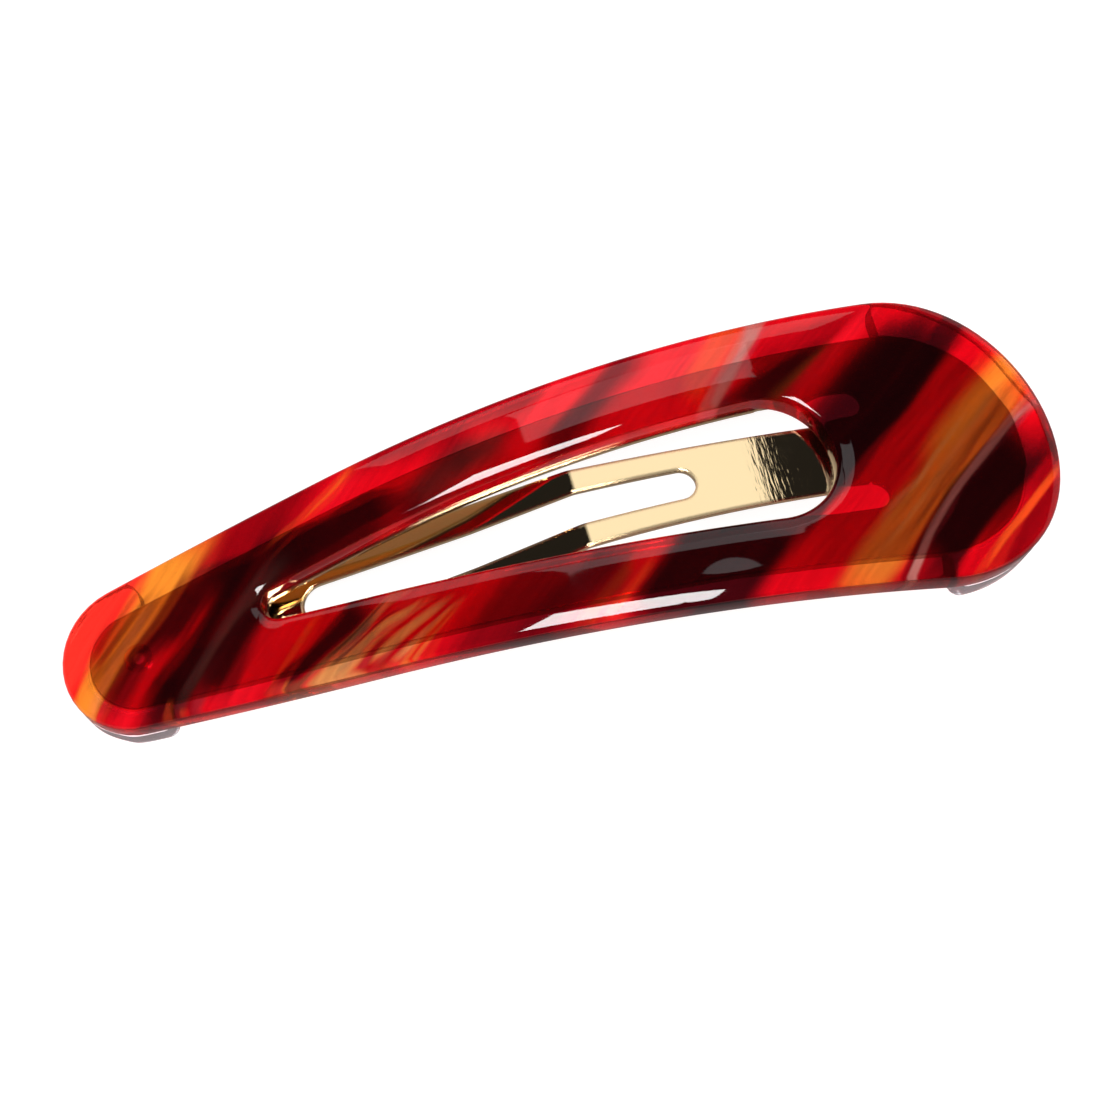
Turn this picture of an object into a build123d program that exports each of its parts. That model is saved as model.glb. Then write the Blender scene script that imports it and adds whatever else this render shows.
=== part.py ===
from build123d import *
from math import atan2, cos, pi, sin, sqrt
import os

# A snap hair clip: a marbled acetate cover, a gilt spring frame under it, the spring tongue that
# snaps against the frame's arms, the eyelet that joins the arms, and a clear pad under each end.
# Millimetres. X runs along the clip from the narrow end to the wide end, Y across it and Z up.
# "Along" is a length measured along the arched underside of the cover from its narrow tip, and
# "height" is a distance square to that underside, positive into the cover.

# Arch, seen from the side: a straight narrow end, then one long arc
CLIP_LENGTH = 88.85
STRAIGHT_LENGTH = 26.3
ARCH_RADIUS = 81.7

# Cover
COVER_THICKNESS = 2.4
COVER_EDGE_RADIUS = 0.8
COVER_NARROW_RADIUS = 6.54
COVER_WIDE_RADIUS = 13.51
COVER_FLANK_RADIUS = 715.0
WINDOW_START = 18.1
WINDOW_END = 67.98
WINDOW_NARROW_RADIUS = 1.5
WINDOW_WIDE_RADIUS = 5.67
WINDOW_FLANK_RADIUS = 458.0

# Glue line between pieces that touch in the real clip
GAP = 0.05

# Spring frame
SHEET = 0.5
FRAME_START = 2.2
FRAME_END = 85.8
FRAME_NARROW_RADIUS = 4.25
FRAME_WIDE_RADIUS = 10.55
FRAME_FLANK_RADIUS = 705.0
OPENING_START = 18.2
OPENING_END = 70.5
OPENING_NARROW_RADIUS = 1.4
OPENING_WIDE_RADIUS = 5.7
OPENING_FLANK_RADIUS = 470.0
ROOT_SLOT_START = 62.0
ROOT_SLOT_END = 71.85
ROOT_SLOT_WIDTH = 2.5
ROOT_SLOT_OFFSET = 4.45

# Spring tongue, hinged where it leaves the frame
HINGE_ALONG = 70.6
ROOT_GAP = 0.2
TONGUE_ROOT_HALF_WIDTH = 3.15
TONGUE_MID_ALONG = 46.0
TONGUE_MID_HALF_WIDTH = 3.62
KNEE_HALF_WIDTH = 4.08
TONGUE_TIP_RADIUS = 4.2
BEND_ALONG = 45.7
BEND_HEIGHT = 0.42
BEND_ROUND = 2.5
KNEE_ALONG = 36.2
KNEE_HEIGHT = -1.75
KNEE_ROUND = 15.0
RISE_ALONG = 20.0
RISE_ROUND = 10.0
TONGUE_TIP_ALONG = 13.0
TONGUE_TIP_HEIGHT = -0.95
SLOT_START = 21.4
SLOT_END = 56.0
SLOT_TIP_RADIUS = 1.85
SLOT_ROOT_RADIUS = 1.35

# Eyelet that joins the two arms at the narrow end
EYELET_ALONG = 6.6
EYELET_BORE_RADIUS = 0.5
EYELET_SHANK_RADIUS = 0.8
EYELET_HEAD_RADIUS = 1.1
EYELET_HEAD = 0.25
EYELET_ROOM = 0.15

# Clear pads
PAD_THICKNESS = 1.9
PAD_EDGE_RADIUS = 0.3
PAD_CORNER_RADIUS = 1.0
NARROW_PAD_END = 8.0
WIDE_PAD_START = 75.6
POCKET_ROOM = 0.15

# Blanks that the pieces are cut from
BLANK_HALF_WIDTH = 20.0
BLANK_LOW = -15.0
BLANK_HIGH = 35.0
BLANK_OVERHANG = 3.0
NEAR = 0.01


def level_point(along, height=0.0):
    """X and Z of a place on the clip with its straight narrow end held level."""
    turn = max(0.0, along - STRAIGHT_LENGTH) / ARCH_RADIUS
    x = min(along, STRAIGHT_LENGTH) + (ARCH_RADIUS + height) * sin(turn)
    z = (ARCH_RADIUS + height) * cos(turn) - ARCH_RADIUS
    return x, z


def turned(point, angle):
    """The same place once the clip is turned up by an angle at its narrow end."""
    x, z = point
    return x * cos(angle) - z * sin(angle), x * sin(angle) + z * cos(angle)


# The clip rests on the rounded bottom edge of each pad's tip, so those two places are level.
FOOT_HEIGHT = PAD_EDGE_RADIUS - PAD_THICKNESS
NARROW_FOOT = level_point(PAD_EDGE_RADIUS, FOOT_HEIGHT)
WIDE_FOOT = level_point(CLIP_LENGTH - PAD_EDGE_RADIUS, FOOT_HEIGHT)
NARROW_SLOPE = -atan2(WIDE_FOOT[1] - NARROW_FOOT[1], WIDE_FOOT[0] - NARROW_FOOT[0])
FLOOR_Z = turned(NARROW_FOOT, NARROW_SLOPE)[1] - PAD_EDGE_RADIUS

# The origin is under the middle of the clip's whole length.
EDGE_HEIGHT = COVER_THICKNESS - COVER_EDGE_RADIUS
NARROW_EDGE = level_point(COVER_EDGE_RADIUS, EDGE_HEIGHT)
WIDE_EDGE = level_point(CLIP_LENGTH - COVER_EDGE_RADIUS, EDGE_HEIGHT)
MIDDLE_X = (turned(NARROW_EDGE, NARROW_SLOPE)[0] + turned(WIDE_EDGE, NARROW_SLOPE)[0]) / 2


def arch_point(along, height=0.0):
    """X and Z of a place on the clip as it rests."""
    x, z = turned(level_point(along, height), NARROW_SLOPE)
    return x - MIDDLE_X, z - FLOOR_Z


def height_of(point):
    """Height of a place in space, square to the underside of the cover."""
    x, z = turned((point.X + MIDDLE_X, point.Z + FLOOR_Z), -NARROW_SLOPE)
    if x < STRAIGHT_LENGTH:
        return z
    return sqrt((x - STRAIGHT_LENGTH) ** 2 + (z + ARCH_RADIUS) ** 2) - ARCH_RADIUS


def slope_at(along):
    """Slope of the underside, in radians, positive where it climbs towards the wide end."""
    return NARROW_SLOPE - max(0.0, along - STRAIGHT_LENGTH) / ARCH_RADIUS


def plan_x(along):
    """X of a place on the underside, seen from above."""
    return arch_point(along)[0]


def surface_plane(along, height):
    """A plane square to the cover, with its Z out of the cover's top."""
    slope = slope_at(along)
    x, z = arch_point(along, height)
    return Plane(origin=(x, 0, z), x_dir=(cos(slope), 0, sin(slope)), z_dir=(-sin(slope), 0, cos(slope)))


def plan_arc(centre, radius, first, last, steps):
    """Places on an arc of the flat outline, seen from above."""
    angles = [first + (last - first) * step / steps for step in range(steps + 1)]
    return [(plan_x(centre[0] + radius * cos(a)), centre[1] + radius * sin(a)) for a in angles]


def tapered_oval(start, narrow_radius, end, wide_radius, flank_radius):
    """Two end arcs joined by a long arc on each side: the plan of cover, window and frame."""
    narrow_centre = start + narrow_radius
    wide_centre = end - wide_radius
    span = wide_centre - narrow_centre
    narrow_reach = flank_radius - narrow_radius
    wide_reach = flank_radius - wide_radius
    flank_along = (narrow_reach**2 - wide_reach**2 + span**2) / (2 * span)
    flank_drop = sqrt(narrow_reach**2 - flank_along**2)
    flank_centre = (narrow_centre + flank_along, -flank_drop)
    narrow_turn = atan2(flank_drop, -flank_along)
    wide_turn = atan2(flank_drop, span - flank_along)
    leave_narrow = (sin(narrow_turn), -cos(narrow_turn))
    enter_wide = (sin(wide_turn), -cos(wide_turn))
    narrow_arc = plan_arc((narrow_centre, 0), narrow_radius, pi, narrow_turn, 4)
    flank_arc = plan_arc(flank_centre, flank_radius, narrow_turn, wide_turn, 3)
    wide_arc = plan_arc((wide_centre, 0), wide_radius, wide_turn, 0, 5)
    with BuildSketch() as outline:
        with BuildLine():
            Spline(narrow_arc, tangents=[(0, 1), leave_narrow])
            Spline(flank_arc, tangents=[leave_narrow, enter_wide])
            Spline(wide_arc, tangents=[enter_wide, (0, -1)])
            mirror(about=Plane.XZ)
        make_face()
    return outline.sketch


def cover_outline(inset=0.0):
    """The cover's outer outline, or one a little inside it."""
    return tapered_oval(
        inset,
        COVER_NARROW_RADIUS - inset,
        CLIP_LENGTH - inset,
        COVER_WIDE_RADIUS - inset,
        COVER_FLANK_RADIUS - inset,
    )


def frame_outline(room=0.0):
    """The frame's outer outline, or one that leaves room round it."""
    return tapered_oval(
        FRAME_START - room,
        FRAME_NARROW_RADIUS + room,
        FRAME_END + room,
        FRAME_WIDE_RADIUS + room,
        FRAME_FLANK_RADIUS + room,
    )


def arch_edges(height):
    """The arch seen from the side at one height: its straight end, then its arc."""
    with BuildLine() as profile:
        straight = Line(arch_point(-BLANK_OVERHANG, height), arch_point(STRAIGHT_LENGTH, height))
        TangentArc(straight @ 1, arch_point(CLIP_LENGTH + BLANK_OVERHANG, height), tangent=straight % 1)
    return profile.edges()


def arch_faces(outline, height):
    """The part of the arched surface at one height that lies inside an outline."""
    with BuildPart() as column:
        with BuildSketch(Plane.XY.offset(BLANK_LOW)):
            add(outline)
        extrude(amount=BLANK_HIGH - BLANK_LOW)
    near_side = Plane.XZ.offset(BLANK_HALF_WIDTH).location
    faces = []
    for edge in arch_edges(height):
        strip = Face.extrude(edge.moved(near_side), (0, 2 * BLANK_HALF_WIDTH, 0))
        inside = strip & column.part
        if inside is not None:
            faces.extend(inside.faces())
    return faces


def thicken_arch(faces, amount):
    """Give arched faces a thickness square to the surface, upwards where the amount is positive."""
    for face in faces:
        faces_up = face.normal_at().Z > 0
        thicken(face, amount=amount if faces_up else -amount)


def arch_slab(low, high):
    """A slab that follows the arch between two heights, as wide as the blanks."""
    with BuildPart() as slab:
        with BuildSketch(Plane.XZ):
            with BuildLine():
                add(arch_edges(low))
                add(arch_edges(high))
                Line(arch_point(-BLANK_OVERHANG, low), arch_point(-BLANK_OVERHANG, high))
                Line(arch_point(CLIP_LENGTH + BLANK_OVERHANG, low), arch_point(CLIP_LENGTH + BLANK_OVERHANG, high))
            make_face()
        extrude(amount=BLANK_HALF_WIDTH, both=True)
    return slab.part


def rim_edges(edges, height):
    """The curved edges that run round a piece at one height."""
    places = (0, 0.5, 1)
    level = [e for e in edges if all(abs(height_of(e.position_at(t)) - height) < NEAR for t in places)]
    return ShapeList(e for e in level if e.geom_type != GeomType.LINE)


# Eyelet, its bore open, with a head on each side of the frame
grip = SHEET + 2 * GAP
with BuildPart() as eyelet:
    with BuildSketch(surface_plane(EYELET_ALONG, -grip - EYELET_HEAD)):
        Circle(EYELET_HEAD_RADIUS)
    extrude(amount=EYELET_HEAD)
    with BuildSketch(surface_plane(EYELET_ALONG, -grip)):
        Circle(EYELET_SHANK_RADIUS)
    extrude(amount=grip)
    with BuildSketch(surface_plane(EYELET_ALONG, 0.0)):
        Circle(EYELET_HEAD_RADIUS)
    extrude(amount=EYELET_HEAD)
    with BuildSketch(surface_plane(EYELET_ALONG, -grip - EYELET_HEAD)):
        Circle(EYELET_BORE_RADIUS)
    extrude(amount=grip + 2 * EYELET_HEAD, mode=Mode.SUBTRACT)

# Cover: the marbled acetate plate with its window, its top edges rolled over
with BuildSketch() as cover_plan:
    add(cover_outline())
    add(
        tapered_oval(WINDOW_START, WINDOW_NARROW_RADIUS, WINDOW_END, WINDOW_WIDE_RADIUS, WINDOW_FLANK_RADIUS),
        mode=Mode.SUBTRACT,
    )
with BuildPart() as acetate_cover:
    thicken_arch(arch_faces(cover_plan.sketch, 0.0), COVER_THICKNESS)
    fillet(rim_edges(acetate_cover.edges(), COVER_THICKNESS), COVER_EDGE_RADIUS)
    with BuildSketch(surface_plane(EYELET_ALONG, 0.0)):
        Circle(EYELET_HEAD_RADIUS + EYELET_ROOM)
    extrude(amount=EYELET_HEAD + EYELET_ROOM, mode=Mode.SUBTRACT)

# Frame: two sprung arms round an opening, with a slot on each side of the tongue's root
seam_x = plan_x(HINGE_ALONG + 3 * ROOT_GAP / 4)
with BuildSketch() as frame_plan:
    add(frame_outline())
    add(
        tapered_oval(
            OPENING_START, OPENING_NARROW_RADIUS, OPENING_END, OPENING_WIDE_RADIUS, OPENING_FLANK_RADIUS
        ),
        mode=Mode.SUBTRACT,
    )
    slot_middle = (plan_x(ROOT_SLOT_START) + plan_x(ROOT_SLOT_END)) / 2
    slot_length = plan_x(ROOT_SLOT_END) - plan_x(ROOT_SLOT_START)
    with Locations((slot_middle, ROOT_SLOT_OFFSET), (slot_middle, -ROOT_SLOT_OFFSET)):
        SlotOverall(slot_length, ROOT_SLOT_WIDTH, mode=Mode.SUBTRACT)
    with Locations((seam_x, 0)):
        Rectangle(
            seam_x - plan_x(ROOT_SLOT_START),
            2 * ROOT_SLOT_OFFSET,
            align=(Align.MAX, Align.CENTER),
            mode=Mode.SUBTRACT,
        )
with BuildPart() as spring_frame:
    add(arch_slab(-GAP - SHEET, -GAP))
    with BuildSketch(Plane.XY.offset(BLANK_LOW)):
        add(frame_plan.sketch)
    extrude(amount=BLANK_HIGH - BLANK_LOW, mode=Mode.INTERSECT)
    with BuildSketch(surface_plane(EYELET_ALONG, -grip)):
        Circle(EYELET_SHANK_RADIUS + GAP)
    extrude(amount=grip, mode=Mode.SUBTRACT)

# Tongue: bent sheet that leaves the frame, rises into the window and dips under the arms
root_along = HINGE_ALONG - ROOT_GAP / 4
root_slope = slope_at(root_along)
root_x = plan_x(root_along)
bend_point = arch_point(BEND_ALONG, BEND_HEIGHT)
knee_point = arch_point(KNEE_ALONG, KNEE_HEIGHT)
rise_point = arch_point(RISE_ALONG, KNEE_HEIGHT)
tip_point = arch_point(TONGUE_TIP_ALONG, TONGUE_TIP_HEIGHT)
tip_centre_x = tip_point[0] + TONGUE_TIP_RADIUS
with BuildSketch() as tongue_plan:
    with BuildLine():
        Line((root_x, 0), (root_x, TONGUE_ROOT_HALF_WIDTH))
        Spline(
            (root_x, TONGUE_ROOT_HALF_WIDTH),
            (plan_x(TONGUE_MID_ALONG), TONGUE_MID_HALF_WIDTH),
            (knee_point[0], KNEE_HALF_WIDTH),
            (tip_centre_x, TONGUE_TIP_RADIUS),
            tangents=[(-1, 0), (-1, 0)],
        )
        CenterArc((tip_centre_x, 0), TONGUE_TIP_RADIUS, 90, 90)
        mirror(about=Plane.XZ)
    make_face()
    with BuildSketch(mode=Mode.SUBTRACT):
        with Locations((plan_x(SLOT_START) + SLOT_TIP_RADIUS, 0)):
            Circle(SLOT_TIP_RADIUS)
        with Locations((plan_x(SLOT_END) - SLOT_ROOT_RADIUS, 0)):
            Circle(SLOT_ROOT_RADIUS)
        make_hull()
with BuildPart() as spring_tongue:
    with BuildSketch(Plane.XZ):
        with BuildLine() as tongue_top:
            root_tangent = (-cos(root_slope), -sin(root_slope))
            TangentArc(arch_point(root_along, -GAP), bend_point, tangent=root_tangent)
            Polyline(bend_point, knee_point, rise_point, tip_point)
            for place, round_radius in ((1, RISE_ROUND), (3, KNEE_ROUND), (5, BEND_ROUND)):
                fillet(tongue_top.vertices().sort_by(Axis.X)[place], round_radius)
            offset(amount=SHEET, side=Side.LEFT)
        make_face()
    extrude(amount=BLANK_HALF_WIDTH, both=True)
    with BuildSketch(Plane.XY.offset(BLANK_LOW)):
        add(tongue_plan.sketch)
    extrude(amount=BLANK_HIGH - BLANK_LOW, mode=Mode.INTERSECT)


def clear_pad(start_x, end_x, inner_x):
    """A clear pad with the cover's outline between two cuts, pocketed for the frame's end."""
    with BuildSketch() as plan:
        add(cover_outline())
        with Locations(((start_x + end_x) / 2, 0)):
            Rectangle(end_x - start_x, 2 * BLANK_HALF_WIDTH, mode=Mode.INTERSECT)
        fillet([v for v in plan.vertices() if abs(v.X - inner_x) < NEAR], PAD_CORNER_RADIUS)
    with BuildPart() as pocket:
        add(arch_slab(-GAP - SHEET - GAP, GAP))
        with BuildSketch(Plane.XY.offset(BLANK_LOW)):
            add(frame_outline(POCKET_ROOM))
        extrude(amount=BLANK_HIGH - BLANK_LOW, mode=Mode.INTERSECT)
    with BuildPart() as pad:
        thicken_arch(arch_faces(plan.sketch, -GAP), GAP - PAD_THICKNESS)
        fillet(rim_edges(pad.edges(), -PAD_THICKNESS), PAD_EDGE_RADIUS)
        add(pocket.part, mode=Mode.SUBTRACT)
    return pad.part


# Narrow pad, with a second recess that clears the eyelet's lower head
pad_end_x = plan_x(NARROW_PAD_END)
with BuildPart() as narrow_end_pad:
    add(clear_pad(plan_x(-BLANK_OVERHANG), pad_end_x, pad_end_x))
    with BuildSketch(surface_plane(EYELET_ALONG, -GAP - SHEET)):
        with Locations((BLANK_OVERHANG / 2, 0)):
            SlotCenterToCenter(BLANK_OVERHANG, 2 * (EYELET_HEAD_RADIUS + EYELET_ROOM))
    extrude(amount=-GAP - EYELET_HEAD - EYELET_ROOM, mode=Mode.SUBTRACT)

# Wide pad
pad_start_x = plan_x(WIDE_PAD_START)
with BuildPart() as wide_end_pad:
    add(clear_pad(pad_start_x, plan_x(CLIP_LENGTH + BLANK_OVERHANG), pad_start_x))

pieces = {
    "acetate_cover": acetate_cover.part,
    "spring_frame": spring_frame.part,
    "spring_tongue": spring_tongue.part,
    "eyelet": eyelet.part,
    "narrow_end_pad": narrow_end_pad.part,
    "wide_end_pad": wide_end_pad.part,
}
os.makedirs("parts", exist_ok=True)
for name, piece in pieces.items():
    piece.label = name
    export_step(piece, f"parts/{name}.step")
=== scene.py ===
from collections import Counter
from math import atan2, cos, pi, radians, sin, sqrt

import bpy
from mathutils import Matrix, Vector


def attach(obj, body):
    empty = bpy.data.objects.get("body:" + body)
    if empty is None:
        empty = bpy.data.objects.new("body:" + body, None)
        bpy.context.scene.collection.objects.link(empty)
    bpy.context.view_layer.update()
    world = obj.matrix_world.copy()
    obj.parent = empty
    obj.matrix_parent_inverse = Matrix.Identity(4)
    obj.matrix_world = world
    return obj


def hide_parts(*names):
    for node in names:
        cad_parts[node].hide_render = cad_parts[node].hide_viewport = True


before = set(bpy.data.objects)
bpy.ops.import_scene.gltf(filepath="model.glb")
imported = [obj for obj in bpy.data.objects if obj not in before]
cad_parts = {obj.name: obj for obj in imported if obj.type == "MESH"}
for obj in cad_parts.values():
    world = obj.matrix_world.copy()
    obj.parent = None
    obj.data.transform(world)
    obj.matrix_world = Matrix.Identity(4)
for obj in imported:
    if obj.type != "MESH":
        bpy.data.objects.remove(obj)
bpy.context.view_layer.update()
scene = bpy.context.scene

# Metres. The clip lies with its length along X, the narrow end at -X and its front at -Y.
MM = 0.001

# The clip's own measurements, in millimetres, as in the part's source
CLIP_LENGTH = 88.85
STRAIGHT_LENGTH = 26.3
ARCH_RADIUS = 81.7
NARROW_SLOPE = 0.265979
ARCH_START = (-17.821, 8.678)
COVER_THICKNESS = 2.4


def deselect_all():
    bpy.ops.object.select_all(action="DESELECT")


def apply_modifier(piece, modifier):
    bpy.context.view_layer.objects.active = piece
    bpy.ops.object.modifier_apply(modifier=modifier.name)


# Camera, at the angle and the distance of the photograph
CAMERA_AZIMUTH = radians(15.588)
CAMERA_ELEVATION = radians(65.0)
CAMERA_ROLL = 0.00722
CAMERA_DISTANCE = 0.6
CAMERA_LENS = 227.33
SENSOR_WIDTH = 36.0
NEAREST_SEEN = 0.01
FURTHEST_SEEN = 50.0
AIM = Vector((-0.0002, 0.0, 0.00145))
SHIFT_X = -0.00282
SHIFT_Y = 0.00719

level = cos(CAMERA_ELEVATION)
right = Vector((cos(CAMERA_AZIMUTH), -sin(CAMERA_AZIMUTH), 0.0))
back = Vector((-level * sin(CAMERA_AZIMUTH), -level * cos(CAMERA_AZIMUTH), sin(CAMERA_ELEVATION)))
lean = Matrix.Rotation(CAMERA_ROLL, 3, "Y")
right = lean @ right
back = lean @ back
up = back.cross(right)
deselect_all()
bpy.ops.object.camera_add(location=AIM + back * CAMERA_DISTANCE)
camera = bpy.context.object
camera.name = "photo_camera"
camera.rotation_mode = "QUATERNION"
camera.rotation_quaternion = Matrix((right, up, back)).transposed().to_quaternion()
camera.data.lens = CAMERA_LENS
camera.data.sensor_width = SENSOR_WIDTH
camera.data.shift_x = SHIFT_X
camera.data.shift_y = SHIFT_Y
camera.data.clip_start = NEAREST_SEEN
camera.data.clip_end = FURTHEST_SEEN
scene.camera = camera

# Marbled cover: an outline of arcs, given a window, thickness and rolled edges, then arched.
# An outline's numbers are its start, narrow radius, end, wide radius and flank radius.
COVER_OUTLINE = (0.0, 6.54, CLIP_LENGTH, 13.51, 715.0)
COVER_WINDOW = (18.1, 1.5, 67.98, 5.67, 458.0)
COVER_EDGE_ROWS = 6
EDGE_ROW_WIDTH = 0.4
MIDDLE_CUTS = 9
NARROW_STEPS = 10
FLANK_STEPS = 66
WIDE_STEPS = 44
MERGE_DISTANCE = 0.02


def spun_oval(start, narrow_radius, end, wide_radius, flank_radius):
    """In edit mode, draws a tapered oval of five arcs by spinning one vertex round their centres."""
    narrow_x = (start + narrow_radius) * MM
    wide_x = (end - wide_radius) * MM
    span = wide_x - narrow_x
    narrow_reach = (flank_radius - narrow_radius) * MM
    wide_reach = (flank_radius - wide_radius) * MM
    flank_x = (narrow_reach**2 - wide_reach**2 + span**2) / (2 * span)
    flank_y = sqrt(narrow_reach**2 - flank_x**2)
    narrow_turn = atan2(flank_y, -flank_x)
    wide_turn = atan2(flank_y, span - flank_x)
    arcs = (
        ((narrow_x, 0.0), pi - narrow_turn, NARROW_STEPS),
        ((narrow_x + flank_x, -flank_y), narrow_turn - wide_turn, FLANK_STEPS),
        ((wide_x, 0.0), 2 * wide_turn, WIDE_STEPS),
        ((narrow_x + flank_x, flank_y), narrow_turn - wide_turn, FLANK_STEPS),
        ((narrow_x, 0.0), pi - narrow_turn, NARROW_STEPS),
    )
    bpy.ops.mesh.select_all(action="DESELECT")
    bpy.ops.mesh.primitive_plane_add(size=MM, location=(start * MM, 0.0, 0.0))
    bpy.ops.mesh.merge(type="CENTER")
    for centre, turn, steps in arcs:
        bpy.ops.mesh.spin(steps=steps, angle=turn, center=(*centre, 0.0), axis=(0.0, 0.0, 1.0))


def windowed_plate(name, outline, window, thickness, edge_rows):
    """A flat plate with a window: two ovals bridged, with close rows of faces along both edges."""
    deselect_all()
    bpy.ops.mesh.primitive_plane_add(size=MM)
    plate = bpy.context.object
    plate.name = name
    bpy.ops.object.mode_set(mode="EDIT")
    bpy.ops.mesh.select_mode(type="VERT")
    bpy.ops.mesh.delete(type="VERT")
    spun_oval(*outline)
    spun_oval(*window)
    bpy.ops.mesh.select_all(action="SELECT")
    bpy.ops.mesh.remove_doubles(threshold=MERGE_DISTANCE * MM)
    bpy.ops.mesh.select_all(action="SELECT")
    bpy.ops.mesh.bridge_edge_loops()
    bpy.ops.mesh.select_all(action="SELECT")
    for row in range(edge_rows):
        bpy.ops.mesh.inset(thickness=EDGE_ROW_WIDTH * MM, use_boundary=True)
    bpy.ops.mesh.select_mode(type="EDGE")
    bpy.ops.object.mode_set(mode="OBJECT")
    # The edges that two faces of the middle band share run across it, and are cut into steps
    uses = Counter(key for face in plate.data.polygons if face.select for key in face.edge_keys)
    for face in plate.data.polygons:
        face.select = False
    for edge in plate.data.edges:
        edge.select = uses[edge.key] == 2
    bpy.ops.object.mode_set(mode="EDIT")
    bpy.ops.mesh.subdivide_edgering(number_cuts=MIDDLE_CUTS, interpolation="LINEAR")
    bpy.ops.mesh.select_all(action="SELECT")
    bpy.ops.mesh.extrude_region_move(TRANSFORM_OT_translate={"value": (0.0, 0.0, thickness * MM)})
    bpy.ops.mesh.select_all(action="SELECT")
    bpy.ops.mesh.normals_make_consistent(inside=False)
    bpy.ops.object.mode_set(mode="OBJECT")
    return plate


cover = windowed_plate("marbled_cover", COVER_OUTLINE, COVER_WINDOW, COVER_THICKNESS, COVER_EDGE_ROWS)

# Where a rim is looked for: a wall leans less than this, and a rim lies this near its height
UPRIGHT = 0.5
RIM_TOLERANCE = 0.1
WINDOW_SPAN = (17.0, 69.0)
WINDOW_REACH = 6.0


def rim_places(piece, height):
    """Vertices where the upright walls meet the face at a height."""
    walls = [face for face in piece.data.polygons if abs(face.normal.z) < UPRIGHT]
    on_walls = {index for face in walls for index in face.vertices}
    low, high = height - RIM_TOLERANCE * MM, height + RIM_TOLERANCE * MM
    return {index for index in on_walls if low < piece.data.vertices[index].co.z < high}


def select_rims(piece, height, part="ALL"):
    """Selects the rims at a height, round the window, outside or both, and enters edit mode."""
    rims = rim_places(piece, height)
    if part != "ALL":
        low, high = WINDOW_SPAN
        places = {index: piece.data.vertices[index].co / MM for index in rims}
        window = {
            index
            for index, place in places.items()
            if abs(place.y) < WINDOW_REACH and low < place.x < high
        }
        rims = window if part == "WINDOW" else rims - window
    for face in piece.data.polygons:
        face.select = False
    for edge in piece.data.edges:
        edge.select = edge.vertices[0] in rims and edge.vertices[1] in rims
    for vertex in piece.data.vertices:
        vertex.select = vertex.index in rims
    bpy.ops.object.mode_set(mode="EDIT")
    bpy.ops.mesh.select_mode(type="EDGE")


# The top is crowned a little, its edges are rolled over and the lower edges are eased.
# A crown is a drop at the rim and how far in it reaches.
CROWNS = (("OUTSIDE", 0.6, 2.2), ("WINDOW", 0.42, 1.55))
ROLLED_EDGE = 0.35
ROLLED_STEPS = 5
EASED_EDGE = 0.12
EASED_STEPS = 2
ROUND_PROFILE = 0.5
for part, crown, crown_reach in CROWNS:
    select_rims(cover, COVER_THICKNESS * MM, part)
    bpy.ops.transform.translate(
        value=(0.0, 0.0, -crown * MM),
        use_proportional_edit=True,
        use_proportional_connected=True,
        proportional_edit_falloff="SHARP",
        proportional_size=crown_reach * MM,
    )
    bpy.ops.mesh.bevel(offset=ROLLED_EDGE * MM, segments=ROLLED_STEPS, profile=ROUND_PROFILE)
    bpy.ops.object.mode_set(mode="OBJECT")
select_rims(cover, 0.0)
bpy.ops.mesh.bevel(offset=EASED_EDGE * MM, segments=EASED_STEPS, profile=ROUND_PROFILE)
bpy.ops.object.mode_set(mode="OBJECT")

# A recess under the narrow end clears the eyelet's head
EYELET_PLACE = (6.6, 0.0)
RECESS_SIZE = (2.5, 2.5)
RECESS_DEPTH = 0.4
PIN_SIDES = 32


def cut_out(piece, shape, centre, size):
    """Cuts a pin's or a block's shape from the underside of a flat piece, RECESS_DEPTH deep."""
    deselect_all()
    place = (centre[0] * MM, centre[1] * MM, 0.0)
    # The cutter starts a millimetre across and is scaled to its size
    if shape == "PIN":
        radius = 0.5 * MM
        bpy.ops.mesh.primitive_cylinder_add(vertices=PIN_SIDES, radius=radius, depth=MM, location=place)
    else:
        bpy.ops.mesh.primitive_cube_add(size=MM, location=place)
    cutter = bpy.context.object
    cutter.scale = (size[0], size[1], 2 * RECESS_DEPTH)
    cut = piece.modifiers.new("cut_out", "BOOLEAN")
    cut.operation = "DIFFERENCE"
    cut.solver = "EXACT"
    cut.object = cutter
    apply_modifier(piece, cut)
    bpy.data.objects.remove(cutter)


cut_out(cover, "PIN", EYELET_PLACE, RECESS_SIZE)

# Each point keeps its place on the flat sheet, in millimetres, for the marbling and its painted shade
flat_place = cover.data.attributes.new("flat_place", "FLOAT_VECTOR", "POINT")
for vertex in cover.data.vertices:
    flat_place.data[vertex.index].vector = vertex.co / MM


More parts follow.
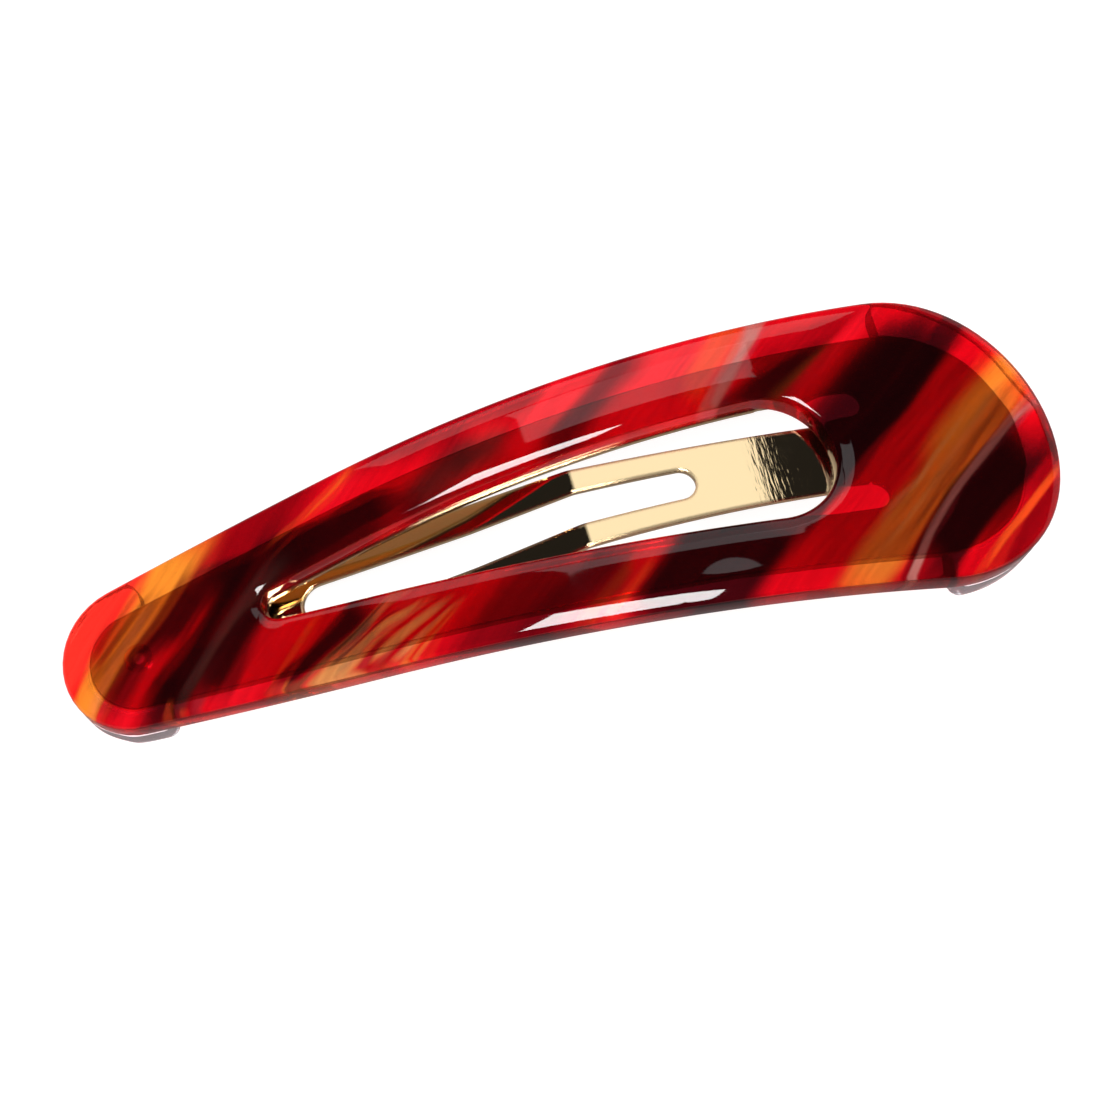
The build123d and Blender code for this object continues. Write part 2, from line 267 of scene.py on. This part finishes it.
def arch_piece(piece):
    """Bends a flat piece over the arch: straight at the narrow end, then one long arc."""
    deselect_all()
    piece.select_set(True)
    bpy.context.view_layer.objects.active = piece
    scene.cursor.location = (STRAIGHT_LENGTH * MM, 0.0, 0.0)
    bpy.ops.object.origin_set(type="ORIGIN_CURSOR")
    piece.rotation_euler = (pi / 2, 0.0, 0.0)
    bpy.ops.object.transform_apply(location=False, rotation=True, scale=False)
    low = min(vertex.co.x for vertex in piece.data.vertices) / MM
    high = max(vertex.co.x for vertex in piece.data.vertices) / MM
    bend = piece.modifiers.new("arch", "SIMPLE_DEFORM")
    bend.deform_method = "BEND"
    bend.deform_axis = "Z"
    bend.angle = high / ARCH_RADIUS
    bend.limits = (-low / (high - low), 1.0)
    apply_modifier(piece, bend)
    piece.rotation_euler = (-pi / 2, 0.0, 0.0)
    bpy.ops.object.transform_apply(location=False, rotation=True, scale=False)
    piece.location = (ARCH_START[0] * MM, 0.0, ARCH_START[1] * MM)
    piece.rotation_euler = (0.0, -NARROW_SLOPE, 0.0)
    bpy.ops.object.transform_apply(location=True, rotation=True, scale=False)


SMOOTH_UNDER = radians(40)
arch_piece(cover)
bpy.ops.object.shade_smooth_by_angle(angle=SMOOTH_UNDER)
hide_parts("acetate_cover")
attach(cover, "clip_body")


def linear(colour):
    """A colour read off a screen, 0 to 255, as the renderer's linear values, by the screen's curve."""
    values = [channel / 255 for channel in colour]
    return tuple(v / 12.92 if v <= 0.04045 else ((v + 0.055) / 1.055) ** 2.4 for v in values) + (1.0,)


def new_material(name):
    material = bpy.data.materials.new(name)
    material.use_nodes = True
    material.node_tree.nodes.clear()
    return material, material.node_tree


def add_node(tree, kind, **settings):
    node = tree.nodes.new(kind)
    for key, value in settings.items():
        setattr(node, key, value)
    return node


def set_values(node, values):
    """Sets a node's own inputs, by name."""
    for name, value in values.items():
        node.inputs[name].default_value = value


def set_input(tree, node, name, value):
    """Links a socket to a node's input, or sets the input to a value."""
    if isinstance(value, bpy.types.NodeSocket):
        tree.links.new(value, node.inputs[name])
    else:
        node.inputs[name].default_value = value


def add_shader(tree, finish):
    """A shader with the plain values of a finish on its own inputs."""
    shader = add_node(tree, "ShaderNodeBsdfPrincipled")
    set_values(shader, finish)
    return shader


def show(tree, shader):
    """Makes a shader the material's surface."""
    output = add_node(tree, "ShaderNodeOutputMaterial")
    tree.links.new(shader.outputs[0], output.inputs["Surface"])


def maths(tree, operation, first, second=0.0, third=0.0):
    node = add_node(tree, "ShaderNodeMath", operation=operation)
    for index, value in enumerate((first, second, third)):
        set_input(tree, node, index, value)
    return node.outputs[0]


def vector_maths(tree, operation, first, second=(0.0, 0.0, 0.0)):
    node = add_node(tree, "ShaderNodeVectorMath", operation=operation)
    set_input(tree, node, 0, first)
    set_input(tree, node, 1, second)
    return node


def eased(tree, value, low, high):
    """0 at low, 1 at high, with an ease at both ends."""
    node = add_node(tree, "ShaderNodeMapRange", interpolation_type="SMOOTHSTEP")
    for name, setting in (("Value", value), ("From Min", low), ("From Max", high)):
        set_input(tree, node, name, setting)
    return node.outputs["Result"]


def blend_colour(tree, amount, below, above):
    """Mixes two colours, which this node takes at its inputs 6 and 7 and gives at its output 2."""
    node = add_node(tree, "ShaderNodeMix", data_type="RGBA")
    set_input(tree, node, 0, amount)
    set_input(tree, node, 6, below)
    set_input(tree, node, 7, above)
    return node.outputs[2]


def noise(tree, place, scale, detail):
    node = add_node(tree, "ShaderNodeTexNoise")
    set_input(tree, node, "Vector", place)
    set_values(node, {"Scale": scale, "Detail": detail})
    return node


def bump(tree, height, depth, over=None):
    """A bump of a depth in millimetres, laid over another node's normal if there is one."""
    node = add_node(tree, "ShaderNodeBump")
    set_input(tree, node, "Height", height)
    set_input(tree, node, "Distance", depth * MM)
    if over is not None:
        set_input(tree, node, "Normal", over.outputs[0])
    return node


# One streak of the marbling, as a group: a soft stroke with two widths and a bow
END_FADE = 0.16
LEAST_HALF_WIDTH = 0.02
streak = bpy.data.node_groups.new("marble_streak", "ShaderNodeTree")
for name, kind in (
    ("Place", "NodeSocketVector"),
    ("Start", "NodeSocketVector"),
    ("Direction", "NodeSocketVector"),
    ("Side", "NodeSocketVector"),
    ("Length", "NodeSocketFloat"),
    ("Half Width", "NodeSocketFloat"),
    ("Widening", "NodeSocketFloat"),
    ("Bow", "NodeSocketFloat"),
    ("Inside", "NodeSocketFloat"),
    ("Outside", "NodeSocketFloat"),
    ("Strength", "NodeSocketFloat"),
    ("Below", "NodeSocketColor"),
    ("Colour", "NodeSocketColor"),
):
    streak.interface.new_socket(name=name, in_out="INPUT", socket_type=kind)
streak.interface.new_socket(name="Marble", in_out="OUTPUT", socket_type="NodeSocketColor")
stroke_in = add_node(streak, "NodeGroupInput").outputs
stroke_out = add_node(streak, "NodeGroupOutput").inputs
from_start = vector_maths(streak, "SUBTRACT", stroke_in["Place"], stroke_in["Start"]).outputs[0]
forward = vector_maths(streak, "DOT_PRODUCT", from_start, stroke_in["Direction"]).outputs["Value"]
sideways = vector_maths(streak, "DOT_PRODUCT", from_start, stroke_in["Side"]).outputs["Value"]
share = maths(streak, "DIVIDE", forward, stroke_in["Length"])
half_here = maths(streak, "MULTIPLY_ADD", share, stroke_in["Widening"], stroke_in["Half Width"])
half_here = maths(streak, "MAXIMUM", half_here, LEAST_HALF_WIDTH)
arc = maths(streak, "SUBTRACT", share, maths(streak, "MULTIPLY", share, share))
offset = maths(streak, "MULTIPLY_ADD", arc, stroke_in["Bow"], sideways)
reach = maths(streak, "DIVIDE", maths(streak, "ABSOLUTE", offset), half_here)
across = eased(streak, reach, stroke_in["Outside"], stroke_in["Inside"])
from_middle = maths(streak, "ABSOLUTE", maths(streak, "SUBTRACT", share, 0.5))
lengthways = eased(streak, from_middle, 0.5 + END_FADE, 0.5 - END_FADE)
amount = maths(streak, "MULTIPLY", across, lengthways)
amount = maths(streak, "MULTIPLY", amount, stroke_in["Strength"])
marble = blend_colour(streak, amount, stroke_in["Below"], stroke_in["Colour"])
streak.links.new(marble, stroke_out["Marble"])

# The sheet's dyes, as they show against white; black also serves as painted shade where the steel lies
# under the sheet
CRIMSON = (224, 8, 26)
SCARLET = (242, 20, 38)
CORAL = (252, 62, 48)
DEEP_RED = (150, 3, 16)
MAROON = (92, 4, 16)
BLACK_DYE_AND_SHADE = (58, 5, 13)
AMBER = (250, 158, 52)
OCHRE = (232, 128, 46)
STRAW = (232, 172, 100)
BROWN = (150, 70, 30)
ORANGE = (242, 92, 34)
TAN = (228, 146, 92)
PEARL = (196, 132, 124)
SMOKE = (135, 90, 82)

# Painted shade: the black strokes over the steel are partly the sheet's dark dye and partly the shade of
# the metal seen through it
# Marbling charted in millimetres, in the order the strokes lie on each other:
# start along and across, end along and across, half width at start and end, softness, bow, dye, strength
MARBLING_AND_SHADE = (
    # Narrow end
    (-5.0, 0.0, 9.5, 12.5, 4.6, 4.6, 0.2, 0.0, CORAL, 0.96),
    (0.2, -4.0, 3.4, 0.6, 0.9, 0.6, 0.5, 0.0, AMBER, 0.85),
    (0.8, -3.6, 14.4, 8.2, 0.8, 2.4, 0.22, 0.0, AMBER, 0.97),
    (2.6, -0.8, 9.8, 4.9, 0.3, 0.3, 0.6, 0.0, BROWN, 0.7),
    (3.0, 0.6, 8.6, 5.0, 0.2, 0.2, 0.6, 0.0, BROWN, 0.5),
    (1.5, -3.4, 9.4, 3.6, 0.4, 0.4, 0.6, 0.0, TAN, 0.6),
    (14.0, 3.0, 25.0, 11.0, 1.9, 2.4, 0.4, 0.0, DEEP_RED, 0.95),
    (3.2, -4.2, 14.0, 4.6, 1.2, 1.3, 0.2, 0.0, MAROON, 0.93),
    (7.0, -5.9, 22.0, 4.6, 1.7, 2.6, 0.2, 0.0, BLACK_DYE_AND_SHADE, 0.96),
    (14.0, 2.9, 32.0, 5.4, 2.0, 0.9, 0.16, 0.0, BLACK_DYE_AND_SHADE, 0.95),
    (21.0, 1.5, 29.5, 3.6, 1.0, 1.0, 0.6, 0.0, MAROON, 0.75),
    (1.0, -7.8, 9.4, -0.2, 1.5, 0.7, 0.4, 0.0, SCARLET, 0.95),
    (4.6, -8.4, 9.4, -3.4, 0.8, 1.1, 0.4, 0.0, BLACK_DYE_AND_SHADE, 0.85),
    (7.2, -8.6, 8.8, -5.6, 0.5, 0.35, 0.4, 0.0, ORANGE, 0.9),
    (25.4, 6.4, 32.0, 10.4, 0.9, 0.9, 0.5, 0.0, SCARLET, 0.6),
    (20.6, 4.8, 28.6, 9.0, 0.2, 0.35, 0.5, 0.0, ORANGE, 0.9),
    (13.3, -1.6, 20.5, 4.9, 0.6, 0.5, 0.8, 0.0, DEEP_RED, 0.55),
    (12.0, -7.9, 21.5, 0.2, 1.9, 1.9, 0.35, 0.0, SCARLET, 0.95),
    (12.2, -5.6, 18.2, 0.2, 0.8, 0.9, 0.5, 0.0, BLACK_DYE_AND_SHADE, 0.9),
    (9.6, -6.2, 20.3, 3.0, 0.45, 0.6, 0.7, -0.5, SMOKE, 0.6),
    # Near arm, from the narrow end
    (16.0, -8.4, 22.3, -2.7, 0.22, 0.22, 0.6, 0.0, ORANGE, 0.7),
    (17.0, -7.6, 26.8, -3.2, 0.5, 1.25, 0.3, 0.0, BLACK_DYE_AND_SHADE, 0.93),
    (18.6, -8.7, 30.4, -3.6, 0.6, 0.35, 0.5, 0.0, STRAW, 0.8),
    (22.5, -6.6, 29.0, -4.0, 0.12, 0.12, 0.6, 0.0, MAROON, 0.7),
    (22.8, -7.4, 26.8, -5.3, 0.35, 0.35, 0.6, 0.0, SMOKE, 0.6),
    (20.5, -8.9, 31.4, -5.0, 0.65, 0.3, 0.5, 0.0, STRAW, 0.85),
    (17.5, -8.1, 26.0, -9.4, 0.8, 0.7, 0.5, 0.0, TAN, 0.8),
    (24.8, -8.4, 28.3, -6.9, 0.3, 0.3, 0.6, 0.0, MAROON, 0.6),
    (26.8, -8.2, 33.0, -5.2, 0.35, 0.25, 0.6, 0.0, STRAW, 0.8),
    (28.0, -8.6, 33.8, -5.8, 0.2, 0.2, 0.6, 0.0, TAN, 0.6),
    (27.0, -10.3, 33.5, -6.0, 0.5, 0.25, 0.6, 0.0, ORANGE, 0.85),
    (30.5, -13.0, 44.5, -3.2, 2.0, 2.2, 0.6, 0.0, MAROON, 0.7),
    (35.4, -12.8, 48.4, -4.4, 1.6, 1.4, 0.5, 0.0, MAROON, 0.85),
    (42.5, -11.5, 48.3, -6.9, 0.65, 0.65, 0.6, 0.0, BROWN, 0.7),
    (44.5, -12.0, 53.0, -5.0, 1.2, 1.2, 0.4, 0.0, SCARLET, 0.85),
    (45.2, -11.0, 50.0, -7.2, 0.4, 0.4, 0.6, 0.0, OCHRE, 0.3),
    (49.4, -13.6, 60.2, -4.0, 4.0, 4.0, 0.15, 0.0, BLACK_DYE_AND_SHADE, 0.97),
    # Far arm, from the narrow end
    (29.5, 9.4, 46.0, 11.6, 1.3, 1.3, 0.5, 0.0, DEEP_RED, 0.85),
    (31.5, 3.2, 38.5, 8.6, 1.2, 1.2, 0.7, 0.0, MAROON, 0.75),
    (36.5, 6.4, 43.4, 8.0, 0.9, 0.9, 0.8, 0.0, MAROON, 0.65),
    (33.0, 4.6, 42.0, 8.0, 1.4, 1.2, 0.9, 0.0, SMOKE, 0.25),
    (41.5, 6.0, 48.5, 11.2, 1.3, 1.3, 0.5, 0.0, SCARLET, 0.85),
    (44.8, 4.8, 54.0, 11.6, 1.4, 1.2, 0.5, 0.0, MAROON, 0.8),
    (50.5, 4.0, 61.5, 13.6, 2.8, 2.8, 0.3, 0.0, SCARLET, 0.85),
    (57.5, 7.5, 63.5, 13.5, 1.0, 1.0, 0.7, 0.0, ORANGE, 0.6),
    (58.5, 4.2, 70.5, 10.0, 1.2, 0.8, 0.4, 0.0, BLACK_DYE_AND_SHADE, 0.9),
    (56.4, 3.6, 65.4, 13.4, 0.6, 0.65, 0.4, 0.3, PEARL, 0.85),
    (63.5, 9.2, 75.0, 12.2, 1.0, 1.0, 0.5, 0.0, DEEP_RED, 0.7),
    (63.5, 5.3, 70.3, 9.4, 0.5, 0.5, 0.8, 0.0, BROWN, 0.7),
    # Wide end
    (66.6, 1.6, 78.0, 10.8, 1.9, 1.6, 0.6, 0.0, BLACK_DYE_AND_SHADE, 0.9),
    (62.0, -6.8, 83.2, 11.4, 1.5, 0.8, 0.25, 0.0, BLACK_DYE_AND_SHADE, 0.97),
    (63.9, -3.2, 81.4, 11.0, 2.3, 2.2, 0.3, 0.0, BLACK_DYE_AND_SHADE, 0.96),
    (64.8, 4.9, 75.5, 12.9, 0.55, 0.7, 0.6, 0.0, SCARLET, 0.85),
    (68.5, -10.0, 84.5, 6.8, 0.8, 0.8, 0.8, 0.0, ORANGE, 0.4),
    (65.7, -13.5, 87.4, 5.9, 1.75, 1.8, 0.3, 0.0, OCHRE, 0.95),
    (76.5, -1.4, 89.0, 8.4, 0.9, 1.2, 0.6, 0.0, AMBER, 0.7),
    (72.0, -9.0, 86.0, 4.0, 0.18, 0.2, 0.7, 0.0, BROWN, 0.6),
    (70.6, -7.0, 80.0, 1.4, 0.2, 0.2, 0.7, 0.0, STRAW, 0.5),
    (69.5, -10.0, 84.0, 3.5, 0.25, 0.25, 0.7, 0.0, STRAW, 0.35),
    (68.5, -14.5, 75.5, -11.5, 1.0, 1.0, 0.5, 0.0, DEEP_RED, 0.85),
    (80.0, -11.0, 93.0, 4.0, 1.6, 2.0, 0.5, 0.0, DEEP_RED, 0.93),
    (73.2, -11.8, 86.0, -0.4, 1.6, 2.1, 0.2, 0.0, BLACK_DYE_AND_SHADE, 0.97),
    (70.0, -13.2, 86.3, 1.6, 0.3, 0.3, 0.6, -1.0, MAROON, 0.8),
    (75.6, -13.2, 85.0, -5.6, 0.7, 0.7, 0.8, 0.0, CRIMSON, 0.8),
    (79.0, -14.0, 89.0, -5.0, 1.2, 1.2, 0.5, 0.0, DEEP_RED, 0.85),
    (76.3, -14.0, 88.2, -3.4, 0.35, 0.35, 0.5, 0.0, ORANGE, 0.9),
    (74.6, -13.6, 75.1, -11.6, 0.35, 0.35, 0.4, 0.0, BLACK_DYE_AND_SHADE, 0.9),
    (69.8, -14.2, 88.3, 3.1, 0.3, 0.4, 0.45, -1.1, PEARL, 0.85),
)

# How the strokes wander with the pour of the sheet, and the fine threads of dye along them
STREAK_TURN = radians(40)
POUR_STRETCH = (11.0, 4.0, 4.0)
POUR_DETAIL = 1.0
POUR_PULL = (2.2, 2.2, 0.0)
THREAD_STRETCH = (9.0, 0.55, 1.0)
THREAD_DETAIL = 3.0
THREAD_SHADE = {"From Min": 0.3, "From Max": 0.7, "To Min": 0.82, "To Max": 1.14}
NOISE_MIDDLE = (0.5, 0.5, 0.5)
ON_THE_SHEET = (1.0, 1.0, 0.0)
BOW_PEAK = 0.25
# Slow hollows left by the polishing, and one raised spot on the near arm
POLISH_WAVE = 12.0
POLISH_DEPTH = 0.016
SPOT_PLACE = (56.0, -12.4, 0.0)
SPOT_REACH = (4.4, 4.2, 1.0)
SPOT_RISE = 6.0
ACETATE_FINISH = {"Roughness": 0.03, "IOR": 1.49, "Transmission Weight": 0.86}
ACETATE_SHADOW = (0.9, 0.62, 0.6, 1.0)


def see_through(tree, body, shade):
    """Lets the lamps' light through a clear body, tinted a little, and sets it as the surface."""
    light_path = add_node(tree, "ShaderNodeLightPath")
    passing = add_node(tree, "ShaderNodeBsdfTransparent")
    set_input(tree, passing, "Color", shade)
    choice = add_node(tree, "ShaderNodeMixShader")
    set_input(tree, choice, 0, light_path.outputs["Is Shadow Ray"])
    set_input(tree, choice, 1, body.outputs[0])
    set_input(tree, choice, 2, passing.outputs[0])
    show(tree, choice)


def drawn_out(tree, place, stretch):
    """A place turned the way the streaks run and stretched along them."""
    node = add_node(tree, "ShaderNodeMapping", vector_type="TEXTURE")
    set_input(tree, node, "Vector", place)
    set_values(node, {"Rotation": (0.0, 0.0, STREAK_TURN), "Scale": stretch})
    return node.outputs[0]


acetate, tree = new_material("marbled_acetate")
place = add_node(tree, "ShaderNodeAttribute", attribute_name="flat_place").outputs["Vector"]
wander = noise(tree, drawn_out(tree, place, POUR_STRETCH), 1.0, POUR_DETAIL)
pull = vector_maths(tree, "SUBTRACT", wander.outputs["Color"], NOISE_MIDDLE).outputs[0]
pull = vector_maths(tree, "MULTIPLY", pull, POUR_PULL).outputs[0]
flat = vector_maths(tree, "MULTIPLY", place, ON_THE_SHEET).outputs[0]
poured = vector_maths(tree, "ADD", flat, pull).outputs[0]
marble_and_shade = linear(CRIMSON)
for along_a, across_a, along_b, across_b, half_a, half_b, softness, bow, dye, strength in MARBLING_AND_SHADE:
    run = Vector((along_b - along_a, across_b - across_a, 0.0))
    heading = run.normalized()
    stroke = add_node(tree, "ShaderNodeGroup", node_tree=streak)
    for name, value in (
        ("Place", poured),
        ("Start", (along_a, across_a, 0.0)),
        ("Direction", heading),
        ("Side", (-heading.y, heading.x, 0.0)),
        ("Length", run.length),
        ("Half Width", half_a),
        ("Widening", half_b - half_a),
        ("Bow", bow / BOW_PEAK),
        ("Inside", 1 - softness),
        ("Outside", 1 + softness),
        ("Strength", strength),
        ("Below", marble_and_shade),
        ("Colour", linear(dye)),
    ):
        set_input(tree, stroke, name, value)
    marble_and_shade = stroke.outputs["Marble"]
threads = noise(tree, drawn_out(tree, poured, THREAD_STRETCH), 1.0, THREAD_DETAIL)
thread_shade = add_node(tree, "ShaderNodeMapRange")
set_values(thread_shade, THREAD_SHADE)
set_input(tree, thread_shade, "Value", threads.outputs["Fac"])
marble_and_shade = vector_maths(tree, "SCALE", marble_and_shade)
set_input(tree, marble_and_shade, "Scale", thread_shade.outputs["Result"])
to_spot = vector_maths(tree, "SUBTRACT", flat, SPOT_PLACE).outputs[0]
to_spot = vector_maths(tree, "DIVIDE", to_spot, SPOT_REACH).outputs[0]
spot = eased(tree, vector_maths(tree, "LENGTH", to_spot).outputs["Value"], 1.0, 0.0)
waves = noise(tree, flat, 1 / POLISH_WAVE, 0.0).outputs["Fac"]
polish = bump(tree, maths(tree, "MULTIPLY_ADD", spot, SPOT_RISE, waves), POLISH_DEPTH)
body = add_shader(tree, ACETATE_FINISH)
set_input(tree, body, "Base Color", marble_and_shade.outputs[0])
set_input(tree, body, "Normal", polish.outputs[0])
see_through(tree, body, ACETATE_SHADOW)
cover.data.materials.clear()
cover.data.materials.append(acetate)

# A film of glue between the cover and the sheet, open at the slots and round the eyelet; its grey is
# painted shade, standing for how dark the cover looks over the steel
FILM_OUTLINE = (2.3, 4.15, 85.7, 10.45, 705.0)
FILM_WINDOW = (18.0, 1.6, 68.08, 5.77, 458.1)
FILM_EDGE_ROWS = 1
FILM_BASE = -0.04
FILM_THICKNESS = 0.03
SLOT_WIDTH = 2.5
SLOT_END = 70.6
SLOT_LENGTH = 14.0
SLOT_OFFSET = 4.45
# Painted shade: the film is paler under the arms than under the wide end, to set how dark the cover
# looks over the steel in each place
PALE_TO = 16.0
DARK_FROM = 22.0
PALE_GLUE_SHADE = (0.26, 0.24, 0.22, 1.0)
DARK_GLUE_SHADE = (0.13, 0.12, 0.11, 1.0)
GLUE_SHADE_FINISH = {"Roughness": 0.8}

film = windowed_plate("glue_shade_film", FILM_OUTLINE, FILM_WINDOW, FILM_THICKNESS, FILM_EDGE_ROWS)
cut_out(film, "PIN", EYELET_PLACE, RECESS_SIZE)
for side in (-SLOT_OFFSET, SLOT_OFFSET):
    cut_out(film, "PIN", (SLOT_END, side), (SLOT_WIDTH, SLOT_WIDTH))
    cut_out(film, "BLOCK", (SLOT_END - 0.5 * SLOT_LENGTH, side), (SLOT_LENGTH, SLOT_WIDTH))
for vertex in film.data.vertices:
    vertex.co.z += FILM_BASE * MM
arch_piece(film)
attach(film, "clip_body")
shaded_glue, tree = new_material("glue_shade_film")
film_apart = add_node(tree, "ShaderNodeSeparateXYZ")
set_input(tree, film_apart, "Vector", add_node(tree, "ShaderNodeTexCoord").outputs["Object"])
painted_darkening = eased(tree, film_apart.outputs["X"], PALE_TO * MM, DARK_FROM * MM)
body = add_shader(tree, GLUE_SHADE_FINISH)
set_input(tree, body, "Base Color", blend_colour(tree, painted_darkening, PALE_GLUE_SHADE, DARK_GLUE_SHADE))
show(tree, body)
film.data.materials.append(shaded_glue)

# Gilt steel: brush marks across the sheet, strongest at the tongue's root, over a slight waviness
GILT_FINISH = {"Base Color": (0.93, 0.72, 0.42, 1.0), "Metallic": 1.0, "Roughness": 0.05}
SHEET_EDGE = 0.45
TWIST = 0.022
RIPPLE = 0.01
RIPPLE_SCALE = 0.22
RIPPLE_DETAIL = 1.0
BRUSH_STRETCH = (3.2, 0.45, 0.2)
BRUSH_DETAIL = 2.0
BRUSH_DEPTH = 0.012
BRUSHED_FROM = 13.0
BRUSHED_TO = 22.0
gilt, tree = new_material("gilt_steel")
sheet_place = add_node(tree, "ShaderNodeTexCoord").outputs["Object"]
sheet_place = vector_maths(tree, "MULTIPLY", sheet_place, (1 / MM, 1 / MM, 1 / MM)).outputs[0]
apart = add_node(tree, "ShaderNodeSeparateXYZ")
set_input(tree, apart, "Vector", sheet_place)
rounded = add_node(tree, "ShaderNodeBevel")
set_input(tree, rounded, "Radius", SHEET_EDGE * MM)
ripple = noise(tree, sheet_place, RIPPLE_SCALE, RIPPLE_DETAIL).outputs["Fac"]
twisted = maths(tree, "MULTIPLY_ADD", apart.outputs["Y"], -TWIST / RIPPLE, ripple)
rippled = bump(tree, twisted, RIPPLE, rounded)
brush_place = vector_maths(tree, "MULTIPLY", sheet_place, BRUSH_STRETCH).outputs[0]
brush = noise(tree, brush_place, 1.0, BRUSH_DETAIL).outputs["Fac"]
brushed = bump(tree, brush, BRUSH_DEPTH, rippled)
set_input(tree, brushed, "Strength", eased(tree, apart.outputs["X"], BRUSHED_FROM, BRUSHED_TO))
body = add_shader(tree, GILT_FINISH)
set_input(tree, body, "Normal", brushed.outputs[0])
show(tree, body)
for name in ("spring_frame", "spring_tongue", "eyelet"):
    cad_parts[name].material_slots[0].material = gilt

# Clear pads
PAD_FINISH = {
    "Base Color": (0.97, 0.96, 1.0, 1.0),
    "Roughness": 0.05,
    "IOR": 1.44,
    "Transmission Weight": 0.93,
}
PAD_SHADOW = (0.93, 0.92, 0.95, 1.0)
clear, tree = new_material("clear_pad")
see_through(tree, add_shader(tree, PAD_FINISH), PAD_SHADOW)
for name in ("narrow_end_pad", "wide_end_pad"):
    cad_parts[name].material_slots[0].material = clear

# Floor: glossy pieces mirror it as the dim table that it stands for
FLOOR_SIZE = 4.0
FLOOR_DROP = 0.0001
PAPER_FINISH = {
    "Base Color": (0.25, 0.25, 0.25, 1.0),
    "Roughness": 0.9,
    "Specular IOR Level": 0.1,
    "Emission Color": (1.0, 1.0, 1.0, 1.0),
}
PAPER_GLOW = 0.92
MIRRORED_GLOW = 0.1
deselect_all()
bpy.ops.mesh.primitive_plane_add(size=FLOOR_SIZE, location=(0.0, 0.0, -FLOOR_DROP))
floor = bpy.context.object
floor.name = "pale_floor"
paper, tree = new_material("pale_floor")
ray = add_node(tree, "ShaderNodeLightPath").outputs
mirrored = maths(tree, "SUBTRACT", ray["Is Glossy Ray"], ray["Is Transmission Ray"])
mirrored = maths(tree, "MAXIMUM", mirrored, 0.0)
glow = maths(tree, "MULTIPLY_ADD", mirrored, MIRRORED_GLOW - PAPER_GLOW, PAPER_GLOW)
body = add_shader(tree, PAPER_FINISH)
set_input(tree, body, "Emission Strength", glow)
show(tree, body)
floor.data.materials.append(paper)


def softbox(name, towards, turn, width, height, radiance):
    """A rectangular lamp a metre from the clip, in a direction, as bright as a radiance."""
    place = Vector(towards).normalized()
    side = Vector((1.0, 0.0, 0.0))
    side = (side - side.dot(place) * place).normalized()
    side = Matrix.Rotation(radians(turn), 3, place) @ side
    deselect_all()
    bpy.ops.object.light_add(type="AREA", location=place)
    lamp = bpy.context.object
    lamp.name = name
    lamp.rotation_mode = "QUATERNION"
    lamp.rotation_quaternion = Matrix((side, place.cross(side), place)).transposed().to_quaternion()
    lamp.data.shape = "RECTANGLE"
    lamp.data.size = width
    lamp.data.size_y = height
    lamp.data.energy = radiance * pi * width * height


# Lamps: name, direction from the clip, turn in degrees, width, height and radiance
LAMPS = (
    ("overhead_softbox", (0.015, -0.22, 0.97), -16.0, 0.35, 0.4, 19.0),
    ("back_softbox", (0.22, 0.515, 0.82), 9.0, 0.5, 0.25, 1.1),
    ("low_back_softbox", (0.15, 0.8, 0.6), 3.0, 0.95, 0.46, 0.85),
)
ROOM_SHADE = (0.016, 0.016, 0.017, 1.0)
for lamp in LAMPS:
    softbox(*lamp)
world = bpy.data.worlds.new("studio")
scene.world = world
world.use_nodes = True
world.node_tree.nodes["Background"].inputs["Color"].default_value = ROOM_SHADE
scene.view_settings.view_transform = "Standard"
scene.view_settings.look = "None"
